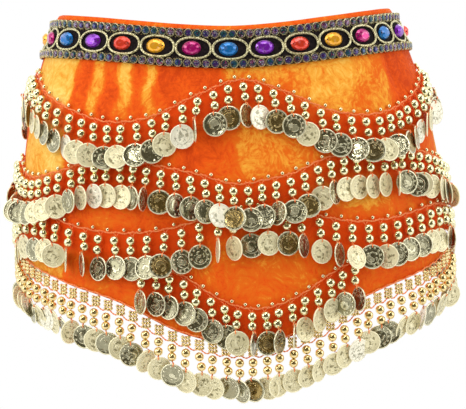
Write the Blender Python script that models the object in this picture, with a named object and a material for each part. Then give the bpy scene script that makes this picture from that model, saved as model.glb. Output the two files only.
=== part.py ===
"""Belly dance hip scarf, worn and filled out, with no wearer in it.

A panel of crushed velvet with a V-pointed hem wraps right round the hips and is tied at the back.
A jewelled braid follows its top edge, four scalloped swags of beads and coins lie over it, and a
bead and coin fringe hangs from its hem.

Lengths are in millimetres and become metres when a mesh is written. The front faces -Y, +Z is up,
and the origin is in the middle of the hips at the height of the braid. A place on the cloth is
given by its arc, measured round the hips from the centre front, its height, and its lift, which
is how far it stands out from the cloth's outer face.
"""

import math
from collections import namedtuple

import bmesh
import bpy
import numpy as np

METRE = 1000.0

# The hips that the scarf goes round. Arcs are measured on an oval of ARC_HALF_WIDTH; below the
# waist the body leans a little towards +X.
ARC_HALF_WIDTH = 165.5
HIP_HALF_WIDTH = 160.0
HIP_HEIGHT = -175.0
HIP_LEAN = 4.0
WAIST_NARROWING = 37.5
WAIST_RISE = 199.0
WAIST_CURVE = 2.47
DEPTH_TO_WIDTH = 0.69
ROUNDNESS = 2.2
ARC_SAMPLES = 3600

# The velvet panel
CLOTH = 1.5
PANEL_COLUMNS = 76
PANEL_ROWS = 12
SEAM_GAP = 0.6
GATHERS = 3
GATHER_DEPTH = 3.0
GATHER_START = 335.0

# The braid along the top edge
TRIM_BELOW_EDGE = 3.4
TRIM_REACH = 336.0
STONE_PITCH = 31.7
STONE_PHASE = -4.0
COLUMNS_PER_STONE = 4
TRIM_LININGS = (0.0, 14.0, 28.0)

# Beads and coins
BEAD = 6.4
COIN = 17.5
COIN_THICKNESS = 1.4
ROOT_WIDTH = 4.4
HEADING_HEIGHT = 3.0
HEADING_DEPTH = 1.8
COIN_TURN = math.radians(22.0)
EDGING_DROP = 8.5

# The tie at the centre back
KNOT_HEIGHT = -35.0
KNOT_HALF_WIDTH = 25.0
KNOT_HALF_HEIGHT = 23.0
KNOT_DEPTH = 26.0
KNOT_CLEARANCE = 0.6
KNOT_SPOKES = 20
KNOT_RINGS = 5
KNOT_WRAPS = 3
KNOT_WRAP_DEPTH = 0.12
TAIL_THICKNESS = 3.0
TAIL_POINTS_ACROSS = 5

Edge = namedtuple("Edge", "arc top hem")
EDGES = (
    Edge(0, 5, -227),
    Edge(45, 7, -218.5),
    Edge(95, 11.5, -195),
    Edge(150, 16.5, -178),
    Edge(205, 20, -161),
    Edge(265, 19, -143),
    Edge(325, 13, -122.5),
    Edge(385, 2, -94),
    Edge(452, -12, -58),
)

# Soft folds of the worn cloth: where each crosses the braid's height, how far it leans for each
# millimetre of height, how far it stands out (or in) and how wide it is.
Fold = namedtuple("Fold", "arc lean depth width")
FOLDS = (
    Fold(-372, 0.20, 2.0, 24),
    Fold(-296, -0.15, -1.5, 20),
    Fold(-236, 0.10, 2.2, 22),
    Fold(-178, -0.22, 1.4, 18),
    Fold(-128, 0.12, -1.3, 17),
    Fold(-52, -0.30, 1.1, 24),
    Fold(38, 0.26, -1.0, 22),
    Fold(104, -0.12, 1.2, 20),
    Fold(166, 0.24, -1.5, 18),
    Fold(222, -0.10, 2.0, 21),
    Fold(284, 0.16, -1.7, 22),
    Fold(356, -0.20, 2.1, 25),
)

# The heading of each swag: points that its line passes through, from one end to the other
Point = namedtuple("Point", "arc height")
Swag = namedtuple("Swag", "name first last strands line")
SWAGS = (
    Swag(
        "swag_1",
        -330,
        330,
        56,
        (
            Point(-332, -48),
            Point(-282, -46),
            Point(-218, -22),
            Point(-177, -37.8),
            Point(-132, -55.9),
            Point(-101, -63.2),
            Point(-70.5, -60.9),
            Point(-29.5, -44.8),
            Point(4, -35),
            Point(43, -45),
            Point(73, -57.5),
            Point(103, -62),
            Point(135.5, -57.5),
            Point(167, -47),
            Point(203, -32),
            Point(240, -23),
            Point(290, -46),
            Point(332, -48),
        ),
    ),
    Swag(
        "swag_2",
        -270,
        270,
        52,
        (
            Point(-275, -94),
            Point(-232, -86),
            Point(-202, -97),
            Point(-175, -101.6),
            Point(-149.5, -98.3),
            Point(-121.5, -92.5),
            Point(-92.5, -91.1),
            Point(-57.5, -97),
            Point(-31, -103),
            Point(-2.5, -110.7),
            Point(20, -108),
            Point(39.5, -104),
            Point(65, -94),
            Point(105.5, -88),
            Point(149.5, -87.6),
            Point(194, -94.1),
            Point(234, -96),
            Point(275, -84),
        ),
    ),
    Swag(
        "swag_3",
        -234,
        234,
        38,
        (
            Point(-240, -136),
            Point(-212, -130),
            Point(-184, -127.5),
            Point(-155, -131.4),
            Point(-126.5, -139.2),
            Point(-80, -144.3),
            Point(-48.5, -140.6),
            Point(-19.5, -132.6),
            Point(12.5, -128.4),
            Point(41, -129.5),
            Point(61, -135.5),
            Point(89.5, -139.8),
            Point(118.5, -138),
            Point(144, -133.5),
            Point(168, -128.8),
            Point(200, -129),
            Point(240, -134),
        ),
    ),
    Swag(
        "swag_4",
        -74,
        83,
        17,
        (
            Point(-77, -168),
            Point(-60, -171),
            Point(-43.5, -177),
            Point(-26.5, -188.6),
            Point(-9, -197.8),
            Point(10.5, -201),
            Point(29.5, -197),
            Point(47, -189),
            Point(64.5, -177.6),
            Point(85.5, -169.6),
        ),
    ),
)
HEM_REACH = 330.0
HEM_STRANDS = 68

# Outer face of the braid from its upper edge down: the small stones' two ribs, and the mound of
# the oval stones, which only rises where a stone lies.
TrimRow = namedtuple("TrimRow", "drop lift mound")
TRIM_ROWS = (
    TrimRow(0, 1.6, 0),
    TrimRow(2.6, 3.6, 0),
    TrimRow(5.4, 1.9, 0),
    TrimRow(8.6, 1.9, 1.4),
    TrimRow(14, 1.9, 4.0),
    TrimRow(19.4, 1.9, 1.4),
    TrimRow(22.6, 1.9, 0),
    TrimRow(25.4, 3.6, 0),
    TrimRow(28, 1.6, 0),
)

# Rings of a strand below its root: two beads, then a coin with eight sides, turned like a shingle.
Ring = namedtuple("Ring", "drop width depth lift turn")
SWAG_RINGS = (
    Ring(2 * BEAD + 0.6, 6.4, 1.4, 3.9, 0.4),
    Ring(2 * BEAD + 5.4, COIN, COIN_THICKNESS, 7.0, 1),
    Ring(2 * BEAD + 12.7, COIN, COIN_THICKNESS, 7.6, 1),
    Ring(2 * BEAD + 0.4 + COIN, 7.2, COIN_THICKNESS, 7.8, 1),
)
HEM_RINGS = tuple(
    Ring(ring.drop + EDGING_DROP, ring.width, ring.depth, 1.8 + 0.12 * ring.lift, ring.turn)
    for ring in SWAG_RINGS
)

# A tie tail by its cross-sections, from inside the knot to the pointed tip.
TailRow = namedtuple("TailRow", "height arc lift half_width cup")
TAIL_ROWS = (
    TailRow(-44, 7, 12, 7, 2),
    TailRow(-60, 12, 11, 9, 4),
    TailRow(-84, 17, 10.5, 14, 5),
    TailRow(-114, 22, 10, 18, 5),
    TailRow(-146, 26, 9, 17, 4),
    TailRow(-176, 29, 8, 10, 3),
    TailRow(-204, 31, 6.5, 1.6, 0.6),
)

Finish = namedtuple("Finish", "colour roughness metallic")
VELVET = Finish((0.92, 0.24, 0.03), 0.62, 0.0)
BRAID = Finish((0.09, 0.06, 0.02), 0.45, 0.3)
GOLD = Finish((0.83, 0.66, 0.36), 0.28, 1.0)


def signed_power(value, exponent):
    return math.copysign(abs(value) ** exponent, value)


def section(angle, half_width, half_depth):
    """A point of the rounded oval that the body has in plan, with angle 0 at the front."""
    exponent = 2.0 / ROUNDNESS
    return (
        half_width * signed_power(math.sin(angle), exponent),
        -half_depth * signed_power(math.cos(angle), exponent),
    )


ANGLES = np.linspace(-math.pi, math.pi, ARC_SAMPLES + 1)
HIP_OVAL = np.array([section(a, ARC_HALF_WIDTH, ARC_HALF_WIDTH * DEPTH_TO_WIDTH) for a in ANGLES])
STEPS = np.hypot(*np.diff(HIP_OVAL, axis=0).T)
ARCS = np.concatenate([[0.0], np.cumsum(STEPS)]) - np.sum(STEPS) / 2
HALF_ROUND = float(ARCS[-1])


def angle_at(arc):
    """The plan angle of an arc round the hips; arcs past the centre back carry on round."""
    turns = math.floor((arc + HALF_ROUND) / (2 * HALF_ROUND))
    return float(np.interp(arc - turns * 2 * HALF_ROUND, ARCS, ANGLES))


def hips_at(height):
    """Half width of the body at a height, and how far its middle is to the side there."""
    rise = max(0.0, (height - HIP_HEIGHT) / WAIST_RISE)
    half_width = HIP_HALF_WIDTH - WAIST_NARROWING * rise**WAIST_CURVE
    return half_width, HIP_LEAN * max(0.0, 1.0 - rise)


def ease(value):
    value = min(1.0, max(0.0, value))
    return value * value * (3 - 2 * value)


def folds(arc, height):
    """How far the worn cloth stands out from the smooth hips."""
    total = 0.0
    for fold in FOLDS:
        off = (arc - fold.arc - fold.lean * height) / fold.width
        total += fold.depth * math.exp(-off * off)
    return total


def place(arc, height, lift):
    """A point above the cloth's outer face."""
    half_width, lean = hips_at(height)
    out = folds(arc, height) + lift
    x, y = section(angle_at(arc), half_width + out, half_width * DEPTH_TO_WIDTH + out)
    return np.array((x + lean, y, height))


def directions(arc, height, lift):
    """Unit vectors along the arc and straight out from the cloth, both level."""
    along = place(arc + 1.0, height, lift) - place(arc - 1.0, height, lift)
    along[2] = 0.0
    along /= np.linalg.norm(along)
    return along, np.array((along[1], -along[0], 0.0))


def curve(arcs, heights, at):
    """A smooth curve through points, level at its two ends."""
    slopes = np.gradient(heights, arcs)
    slopes[0] = 0.0
    slopes[-1] = 0.0
    at = min(max(at, arcs[0]), arcs[-1])
    k = min(int(np.searchsorted(arcs, at, side="right")) - 1, len(arcs) - 2)
    span = arcs[k + 1] - arcs[k]
    t = (at - arcs[k]) / span
    return float(
        heights[k] * (2 * t**3 - 3 * t**2 + 1)
        + slopes[k] * span * (t**3 - 2 * t**2 + t)
        + heights[k + 1] * (3 * t**2 - 2 * t**3)
        + slopes[k + 1] * span * (t**3 - t**2)
    )


def edge_height(arc, column):
    """Height of the top edge or the hem, the same on both sides."""
    return curve([row.arc for row in EDGES], [getattr(row, column) for row in EDGES], abs(arc))


def swag_height(line, arc):
    """Height of a swag's heading."""
    return curve([point.arc for point in line], [point.height for point in line], arc)


def finish(name, look):
    material = bpy.data.materials.new(name)
    material.use_nodes = True
    shader = material.node_tree.nodes["Principled BSDF"]
    shader.inputs["Base Color"].default_value = (*look.colour, 1.0)
    shader.inputs["Roughness"].default_value = look.roughness
    shader.inputs["Metallic"].default_value = look.metallic
    return material


def add_object(name, mesh_builder, look):
    """Write the bmesh as one object, in metres, shaded smooth but for its sharp edges."""
    for vertex in mesh_builder.verts:
        vertex.co /= METRE
    bmesh.ops.recalc_face_normals(mesh_builder, faces=mesh_builder.faces)
    mesh = bpy.data.meshes.new(name)
    mesh_builder.to_mesh(mesh)
    mesh_builder.free()
    mesh.shade_smooth()
    mesh.set_sharp_from_angle(angle=math.radians(40))
    mesh.materials.append(finish(name, look))
    piece = bpy.data.objects.new(name, mesh)
    bpy.context.collection.objects.link(piece)
    return piece


def sweep(builder, sections, closed, skipped=()):
    """Join equal cross-sections one after another; skipped holds (section, side) pairs left open."""
    rows = [[builder.verts.new(point) for point in points] for points in sections]
    sides = len(rows[0])
    joins = len(rows) if closed else len(rows) - 1
    for i in range(joins):
        here, there = rows[i], rows[(i + 1) % len(rows)]
        for side in range(sides):
            if (i, side) not in skipped:
                following = (side + 1) % sides
                builder.faces.new((here[side], here[following], there[following], there[side]))
    if not closed:
        builder.faces.new(reversed(rows[0]))
        builder.faces.new(rows[-1])
    return rows


def panel_gather(arc, down):
    """Creases that the tie pulls into the two ends: none in front, deep at the centre back."""
    pull = ease((abs(arc) - GATHER_START) / (HALF_ROUND - GATHER_START))
    return pull * GATHER_DEPTH * math.cos(2 * math.pi * GATHERS * down)


def build_panel():
    builder = bmesh.new()
    sections = []
    for column in range(PANEL_COLUMNS):
        arc = HALF_ROUND * (2 * column / PANEL_COLUMNS - 1)
        top, hem = edge_height(arc, "top"), edge_height(arc, "hem")
        outer, inner = [], []
        for row in range(PANEL_ROWS + 1):
            down = row / PANEL_ROWS
            height = top + (hem - top) * down
            crease = panel_gather(arc, down)
            outer.append(place(arc, height, crease))
            inner.append(place(arc, height, crease - CLOTH))
        sections.append(outer + inner[::-1])
    sweep(builder, sections, closed=True)
    add_object("velvet_wrap", builder, VELVET)


def build_trim():
    builder = bmesh.new()
    columns = round(2 * TRIM_REACH / STONE_PITCH * COLUMNS_PER_STONE)
    sections = []
    for column in range(columns + 1):
        arc = -TRIM_REACH + column * 2 * TRIM_REACH / columns
        over_stone = math.cos(2 * math.pi * (arc - STONE_PHASE) / STONE_PITCH)
        top = edge_height(arc, "top") - TRIM_BELOW_EDGE
        outer = [
            place(arc, top - row.drop, row.lift + row.mound * ease(0.35 + 0.65 * over_stone))
            for row in TRIM_ROWS
        ]
        inner = [place(arc, top - drop, SEAM_GAP) for drop in TRIM_LININGS]
        sections.append(outer + inner[::-1])
    sweep(builder, sections, closed=False)
    add_object("jewel_trim", builder, BRAID)


def hang_strand(builder, root, arc, height, rings):
    """Draw a strand down from the open root, ring by ring, and close its end."""
    above = root
    for ring in rings:
        along, out = directions(arc, height - ring.drop, ring.lift)
        turn = COIN_TURN * ring.turn
        wide = along * math.cos(turn) + out * math.sin(turn)
        deep = out * math.cos(turn) - along * math.sin(turn)
        centre = place(arc, height - ring.drop, ring.lift)
        corners = ((-0.5, -0.5), (0.5, -0.5), (0.5, 0.5), (-0.5, 0.5))
        below = [
            builder.verts.new(centre + wide * ring.width * w + deep * ring.depth * d) for w, d in corners
        ]
        for side in range(4):
            following = (side + 1) % 4
            builder.faces.new((above[side], above[following], below[following], below[side]))
        above = below
    builder.faces.new(above)


def build_fringe(name, centres, height_at, strip_above, strip_below, rings):
    """A narrow strip round the cloth with one strand for each of its wide places."""
    builder = bmesh.new()
    sections = []
    for centre in centres:
        for arc in (centre - ROOT_WIDTH / 2, centre + ROOT_WIDTH / 2):
            height = height_at(arc)
            sections.append(
                (
                    place(arc, height + strip_above, SEAM_GAP),
                    place(arc, height - strip_below, SEAM_GAP),
                    place(arc, height - strip_below, SEAM_GAP + HEADING_DEPTH),
                )
            )
    open_roots = {(2 * k, 1) for k in range(len(centres))}
    rows = sweep(builder, sections, closed=False, skipped=open_roots)
    for k, centre in enumerate(centres):
        left, right = rows[2 * k], rows[2 * k + 1]
        root = (left[1], right[1], right[2], left[2])
        hang_strand(builder, root, centre, height_at(centre), rings)
    add_object(name, builder, GOLD)


def build_fringes():
    half = HEADING_HEIGHT / 2
    for swag in SWAGS:
        build_fringe(
            swag.name,
            np.linspace(swag.first, swag.last, swag.strands),
            lambda arc, line=swag.line: swag_height(line, arc),
            half,
            half,
            SWAG_RINGS,
        )
    build_fringe(
        "hem_fringe",
        np.linspace(-HEM_REACH, HEM_REACH, HEM_STRANDS),
        lambda arc: edge_height(arc, "hem"),
        HEADING_HEIGHT,
        EDGING_DROP,
        HEM_RINGS,
    )


def build_knot():
    """A low dome over the gathered ends, with the turns of the tie raised across it."""
    builder = bmesh.new()
    floor_lift = GATHER_DEPTH + KNOT_CLEARANCE
    rings = []
    for ring in range(KNOT_RINGS):
        rise = ring / KNOT_RINGS * math.pi / 2
        points = []
        for spoke in range(KNOT_SPOKES):
            around = 2 * math.pi * spoke / KNOT_SPOKES
            swell = 1 + KNOT_WRAP_DEPTH * math.cos(KNOT_WRAPS * around + 0.6) * math.cos(rise)
            points.append(
                builder.verts.new(
                    place(
                        HALF_ROUND + KNOT_HALF_WIDTH * math.cos(rise) * math.cos(around) * swell,
                        KNOT_HEIGHT + KNOT_HALF_HEIGHT * math.cos(rise) * math.sin(around) * swell,
                        floor_lift + KNOT_DEPTH * math.sin(rise),
                    )
                )
            )
        rings.append(points)
    crown = builder.verts.new(place(HALF_ROUND, KNOT_HEIGHT, floor_lift + KNOT_DEPTH))
    for lower, upper in zip(rings, rings[1:]):
        for spoke in range(KNOT_SPOKES):
            following = (spoke + 1) % KNOT_SPOKES
            builder.faces.new((lower[spoke], lower[following], upper[following], upper[spoke]))
    for spoke in range(KNOT_SPOKES):
        builder.faces.new((rings[-1][spoke], rings[-1][(spoke + 1) % KNOT_SPOKES], crown))
    builder.faces.new(reversed(rings[0]))
    return add_object("tie_knot", builder, VELVET)


def build_tail(side, name):
    """One hanging end of the panel, cupped along its length, down to its pointed tip."""
    builder = bmesh.new()
    sections = []
    for row in TAIL_ROWS:
        front, back = [], []
        for point in range(TAIL_POINTS_ACROSS):
            across = 2 * point / (TAIL_POINTS_ACROSS - 1) - 1
            arc = HALF_ROUND + side * row.arc + across * row.half_width
            lift = row.lift + row.cup * (1 - across * across)
            front.append(place(arc, row.height, lift + TAIL_THICKNESS / 2))
            back.append(place(arc, row.height, lift - TAIL_THICKNESS / 2))
        sections.append(front + back[::-1])
    sweep(builder, sections, closed=False)
    tail = add_object(name, builder, VELVET)
    tail.hide_render = True
    tail.display_type = "WIRE"
    return tail


def build_tie():
    """The knot with its two tails, which are one stretch of cloth, joined into one body."""
    knot = build_knot()
    for side, name in ((-1, "tail_guide_left"), (1, "tail_guide_right")):
        tail = build_tail(side, name)
        join = knot.modifiers.new(name, "BOOLEAN")
        join.operation = "UNION"
        join.solver = "EXACT"
        join.object = tail


def main():
    for old in list(bpy.data.objects):
        bpy.data.objects.remove(old, do_unlink=True)
    build_panel()
    build_trim()
    build_fringes()
    build_tie()


main()
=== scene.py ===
import functools
import math
import random

import bmesh
import bpy
import numpy as np
from bpy.props import FloatProperty, FloatVectorProperty, PointerProperty
from mathutils import Matrix, Vector


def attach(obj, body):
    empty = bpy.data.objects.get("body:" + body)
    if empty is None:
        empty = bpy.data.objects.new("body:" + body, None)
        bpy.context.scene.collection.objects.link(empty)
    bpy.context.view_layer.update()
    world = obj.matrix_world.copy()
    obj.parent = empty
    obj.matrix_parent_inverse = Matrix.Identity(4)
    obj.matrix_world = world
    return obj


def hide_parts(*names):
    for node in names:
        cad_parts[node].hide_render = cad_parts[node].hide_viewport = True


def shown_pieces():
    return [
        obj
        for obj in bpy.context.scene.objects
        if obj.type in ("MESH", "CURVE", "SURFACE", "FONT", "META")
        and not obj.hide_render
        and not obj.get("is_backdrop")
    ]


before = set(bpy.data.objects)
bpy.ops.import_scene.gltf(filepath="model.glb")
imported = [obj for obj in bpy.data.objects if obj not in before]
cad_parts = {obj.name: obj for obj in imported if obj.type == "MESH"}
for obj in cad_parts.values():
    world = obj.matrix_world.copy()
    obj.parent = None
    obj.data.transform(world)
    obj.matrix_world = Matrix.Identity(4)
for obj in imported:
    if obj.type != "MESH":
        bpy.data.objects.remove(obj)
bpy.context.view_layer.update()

bl_info = {
    "name": "Velvet hip scarf with coins",
    "version": (1, 0, 0),
    "blender": (4, 5, 0),
    "location": "View3D > Sidebar > Hip scarf",
    "description": "Makes the finished surfaces of a belly dance hip scarf",
    "category": "Object",
}

# Lengths are in millimetres and become metres when a mesh is written. A place on the cloth is an
# arc round the hips from the centre front, a height, and a lift out from the cloth's outer face.
METRE = 1000.0
BODY = "root"

# The hips that the scarf goes round. Arcs are measured on an oval of ARC_HALF_WIDTH; below the
# waist the body leans a little towards +X.
ARC_HALF_WIDTH = 165.5
HIP_HALF_WIDTH = 160.0
HIP_HEIGHT = -175.0
HIP_LEAN = 4.0
WAIST_NARROWING = 37.5
WAIST_RISE = 199.0
WAIST_CURVE = 2.47
DEPTH_TO_WIDTH = 0.69
ROUNDNESS = 2.2
ARC_SAMPLES = 3600

# The velvet panel
CLOTH = 1.5
EDGE_ROUNDING = 0.5
GATHERS = 3
GATHER_DEPTH = 3.0
GATHER_START = 335.0
PANEL_COLUMNS = 360
PANEL_ROWS = 78
# How far below a heading the painted shade behind the beads reaches
BEAD_SHADE_DROP = 15.0

# Columns: arc, top, hem
EDGES = (
    (0, 5, -227),
    (45, 7, -218.5),
    (95, 11.5, -195),
    (150, 16.5, -178),
    (205, 20, -161),
    (265, 19, -143),
    (325, 13, -122.5),
    (385, 2, -94),
    (452, -12, -58),
)

# Columns: arc at the braid's height, lean, depth, width
FOLDS = (
    (-372, 0.20, 2.0, 24),
    (-296, -0.15, -1.5, 20),
    (-236, 0.10, 2.2, 22),
    (-178, -0.22, 1.4, 18),
    (-128, 0.12, -1.3, 17),
    (-52, -0.30, 1.1, 24),
    (38, 0.26, -1.0, 22),
    (104, -0.12, 1.2, 20),
    (166, 0.24, -1.5, 18),
    (222, -0.10, 2.0, 21),
    (284, 0.16, -1.7, 22),
    (356, -0.20, 2.1, 25),
)

# Small creases. Columns: arc, height, length, slant in degrees from level, depth, width
CREASES = (
    (-150, -34, 46, 72, -0.9, 4.0),
    (-134, -28, 34, 80, 0.7, 4.5),
    (-112, -36, 30, 64, -0.6, 3.6),
    (-64, -40, 40, 28, 0.6, 5.0),
    (-20, -78, 52, -12, -0.6, 5.5),
    (22, -70, 44, 18, 0.7, 5.0),
    (70, -36, 42, -30, -0.7, 4.6),
    (124, -34, 38, -58, 0.7, 4.4),
    (150, -30, 40, -74, -0.9, 4.0),
    (-96, -118, 38, 24, 0.7, 5.0),
    (-150, -118, 42, 50, -0.8, 4.6),
    (-30, -150, 56, -20, -0.7, 6.0),
    (36, -158, 60, 22, 0.8, 6.0),
    (96, -112, 40, -26, 0.7, 4.8),
    (150, -114, 38, -48, -0.8, 4.6),
    (-110, -158, 46, 18, 0.7, 5.4),
    (118, -160, 44, -20, -0.7, 5.2),
    (-196, -60, 48, 66, -1.0, 5.0),
    (204, -58, 46, -62, -1.0, 5.2),
    (-250, -70, 60, 40, 1.0, 6.0),
    (256, -66, 58, -44, 1.0, 6.0),
    (-300, -52, 64, 24, -1.1, 6.4),
    (310, -56, 60, -22, -1.1, 6.2),
    (-345, -40, 66, 10, 1.1, 6.4),
    (350, -36, 64, -12, 1.1, 6.0),
)

# Where the pile of the velvet lies another way. The lie is real, but the sheen that it gives is painted into
# the
# colour: bright where it is laid towards the light, deep where it stands away. Columns: arc, height, half
# width, half height, slant in degrees, strength
PILE_SHEEN_PATCHES = (
    (-182, -28, 37, 26, 6, 1.40),
    (-183, -82, 36, 25, 0, 1.30),
    (-134.5, -32, 7, 28, 4, -0.44),
    (-120, -33, 6, 24, 5, 0.88),
    (-106.5, -34, 7, 28, 3, -0.38),
    (-93, -32, 6, 28, 2, 0.82),
    (-82, -34, 5, 26, 3, -0.34),
    (-71, -38, 4.5, 28, 1, 0.85),
    (-35.5, -30, 27, 20, -8, -0.38),
    (21, -28, 27, 9, -14, 0.60),
    (94, -38, 46, 25, 6, 0.62),
    (178, -34, 33, 36, 0, -0.50),
    (-26.5, -80, 24, 24, 4, -0.34),
    (26.5, -80, 26, 22, 4, 0.50),
    (87.5, -112, 34, 16, 6, 0.60),
    (-110, -118, 40, 12, 8, -0.36),
    (5, -160, 42, 22, -4, 0.20),
    (-68, -176, 26, 10, 20, -0.30),
    (172, -112, 16, 16, 0, -0.50),
    (-180, -166, 34, 12, 0, 0.80),
    (-232, -60, 18, 50, 6, -0.45),
    (-262, -30, 12, 40, 8, 0.60),
    (-300, -70, 24, 26, 12, -0.40),
    (-338, -20, 10, 44, 10, 0.65),
    (-384, -50, 26, 22, -10, 0.50),
    (-424, -80, 14, 34, 4, -0.55),
    (222, -70, 20, 30, -6, 0.55),
    (262, -40, 12, 46, -8, -0.50),
    (296, -60, 20, 30, -10, 0.65),
    (336, -30, 12, 44, -8, -0.45),
    (378, -60, 24, 28, 12, 0.45),
    (420, -30, 14, 40, -4, -0.50),
    (446, -90, 16, 30, 0, 0.45),
)

# The four swags: name, first and last strand's arc, strands, then the points that the heading
# passes through as arc and height
SWAGS = (
    ("swag_1", -330, 330, 56, (
        (-332, -48), (-282, -46), (-218, -22), (-177, -37.8), (-132, -55.9), (-101, -63.2),
        (-70.5, -60.9), (-29.5, -44.8), (4, -35), (43, -45), (73, -57.5), (103, -62),
        (135.5, -57.5), (167, -47), (203, -32), (240, -23), (290, -46), (332, -48),
    )),
    ("swag_2", -270, 270, 52, (
        (-275, -94), (-232, -86), (-202, -97), (-175, -101.6), (-149.5, -98.3), (-121.5, -92.5),
        (-92.5, -91.1), (-57.5, -97), (-31, -103), (-2.5, -110.7), (20, -108), (39.5, -104),
        (65, -94), (105.5, -88), (149.5, -87.6), (194, -94.1), (234, -96), (275, -84),
    )),
    ("swag_3", -234, 234, 38, (
        (-240, -136), (-212, -130), (-184, -127.5), (-155, -131.4), (-126.5, -139.2), (-80, -144.3),
        (-48.5, -140.6), (-19.5, -132.6), (12.5, -128.4), (41, -129.5), (61, -135.5), (89.5, -139.8),
        (118.5, -138), (144, -133.5), (168, -128.8), (200, -129), (240, -134),
    )),
    ("swag_4", -74, 83, 17, (
        (-77, -168), (-60, -171), (-43.5, -177), (-26.5, -188.6), (-9, -197.8), (10.5, -201),
        (29.5, -197), (47, -189), (64.5, -177.6), (85.5, -169.6),
    )),
)
# How far past its last strands a swag's heading still counts as lying there
SWAG_SPARE = 6
HEM = "hem_fringe"
HEM_REACH = 330.0
HEM_STRANDS = 68

# How far below its heading a strand has its first bead, its second bead and its coin's top
SWAG_DROPS = (5.5, 12.7, 16.7)
HEM_DROPS = (12.9, 19.7, 23.2)
# The hem's large beads, as a share of the swags'
HEM_BEAD_SHARE = 0.93

# How the coins hang. Neighbours lap one way in groups; a group's first coin is a step further
# out than the rest, and over a lower row a coin is lifted and tipped to clear it.
COIN_LIFT = 5.0
HEM_COIN_LIFT = 3.0
GROUP_STEP = 2.4
GROUP_STEP_LOSS = 1.2
LOWER_ROW_LIFT = 3.8
LOWER_ROW_TILT = 13
# Share of the hem's coins that are dull and pale; so many of them paint the bright reflection that hem coins
# show
HEM_DULL_PALE_REFLECTION_SHARE = 0.66

# How a coin is turned about up. Columns: a draw from 0 to 1 below this, least and most degrees
COIN_TURNS = ((0.06, 74, 86), (0.20, 36, 58), (1.0, 7, 30))

# Threads: lifts, the step along a path, a ply's radius as a share of the thread, and the space
# from a thread's end to the middle line, so that two ends don't share a place
HEADING_LIFT = 1.9
EDGING_LIFT = 1.5
CORD_STEP = 0.9
PLY_SHARE = 0.27
END_SPACE = 0.15
# How far below its middle a small part takes the direction that it faces
SEAT = 0.2

# The braid
TRIM_BELOW_EDGE = 3.4
TRIM_HEIGHT = 28.0
TRIM_REACH = 336.0
TRIM_OUTER_LIFT = 1.5
TRIM_INNER_LIFT = 0.5
# Lift of the gold ovals and the stones
TRIM_LIFT = 2.6
SMALL_STONE_LIFT = 2.2
OVAL_HALF_HEIGHT = 7.5
OVAL_SPACE = 0.9
OVAL_SHIFT = 1.6
OVAL_EXPONENT = 0.86
STONE_PITCH = 31.7
STONE_PHASE = -4.0
SMALL_STONE_DROPS = (3.1, 25.0)

# The tie at the centre back
KNOT_HEIGHT = -35.0
KNOT_HALF_WIDTH = 24.5
KNOT_HALF_HEIGHT = 22.0
KNOT_LIFT = 3.4
KNOT_DEPTH = 23.5
TAIL_HALF_THICKNESS = 0.6


def signed_power(value, exponent):
    return np.sign(value) * np.abs(value) ** exponent


def section(angle, half_width, half_depth):
    exponent = 2.0 / ROUNDNESS
    return (
        half_width * signed_power(np.sin(angle), exponent),
        -half_depth * signed_power(np.cos(angle), exponent),
    )


ANGLES = np.linspace(-math.pi, math.pi, ARC_SAMPLES + 1)
HIP_OVAL = np.stack(section(ANGLES, ARC_HALF_WIDTH, ARC_HALF_WIDTH * DEPTH_TO_WIDTH), axis=1)
STEPS = np.hypot(*np.diff(HIP_OVAL, axis=0).T)
ARCS = np.concatenate([[0.0], np.cumsum(STEPS)]) - np.sum(STEPS) / 2
HALF_ROUND = float(ARCS[-1])


def angle_at(arc):
    turns = np.floor((arc + HALF_ROUND) / (2 * HALF_ROUND))
    return np.interp(arc - turns * 2 * HALF_ROUND, ARCS, ANGLES)


def hips_at(height):
    """Half width of the body at a height, and how far its middle is to the side there."""
    rise = np.maximum(0.0, (height - HIP_HEIGHT) / WAIST_RISE)
    half_width = HIP_HALF_WIDTH - WAIST_NARROWING * rise**WAIST_CURVE
    return half_width, HIP_LEAN * np.maximum(0.0, 1.0 - rise)


def ease(value):
    value = np.clip(value, 0.0, 1.0)
    return value * value * (3 - 2 * value)


def folds(arc, height):
    total = np.zeros(np.broadcast(arc, height).shape)
    for centre, lean, depth, width in FOLDS:
        total = total + depth * np.exp(-(((arc - centre - lean * height) / width) ** 2))
    return total


def place(arc, height, lift):
    """Points above the cloth's outer face, in millimetres, for numbers or whole arrays."""
    arc, height, lift = np.broadcast_arrays(*(np.asarray(v, float) for v in (arc, height, lift)))
    half_width, lean = hips_at(height)
    out = folds(arc, height) + lift
    x, y = section(angle_at(arc), half_width + out, half_width * DEPTH_TO_WIDTH + out)
    return np.stack((x + lean, y, height), axis=-1)


def directions(arc, height, lift):
    """Level unit vectors along the arc and out from the cloth."""
    step = 1.0
    along = place(np.asarray(arc) + step, height, lift) - place(np.asarray(arc) - step, height, lift)
    along[..., 2] = 0.0
    along /= np.linalg.norm(along, axis=-1, keepdims=True)
    out = np.stack((along[..., 1], -along[..., 0], np.zeros(along.shape[:-1])), axis=-1)
    return along, out


def curve(rows, column, at):
    """A smooth curve through the rows' first column and another one, level at its two ends."""
    rows = np.array(rows, float)
    arcs, heights = rows[:, 0], rows[:, column]
    slopes = np.gradient(heights, arcs)
    slopes[0] = 0.0
    slopes[-1] = 0.0
    at = np.clip(np.asarray(at, float), arcs[0], arcs[-1])
    k = np.clip(np.searchsorted(arcs, at, side="right") - 1, 0, len(arcs) - 2)
    span = arcs[k + 1] - arcs[k]
    t = (at - arcs[k]) / span
    return (
        heights[k] * (2 * t**3 - 3 * t**2 + 1)
        + slopes[k] * span * (t**3 - 2 * t**2 + t)
        + heights[k + 1] * (3 * t**2 - 2 * t**3)
        + slopes[k + 1] * span * (t**3 - t**2)
    )


def edge_height(arc, column):
    """Height of the top edge (column 1) or the hem (column 2), the same on both sides."""
    return curve(EDGES, column, np.abs(arc))


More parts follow.
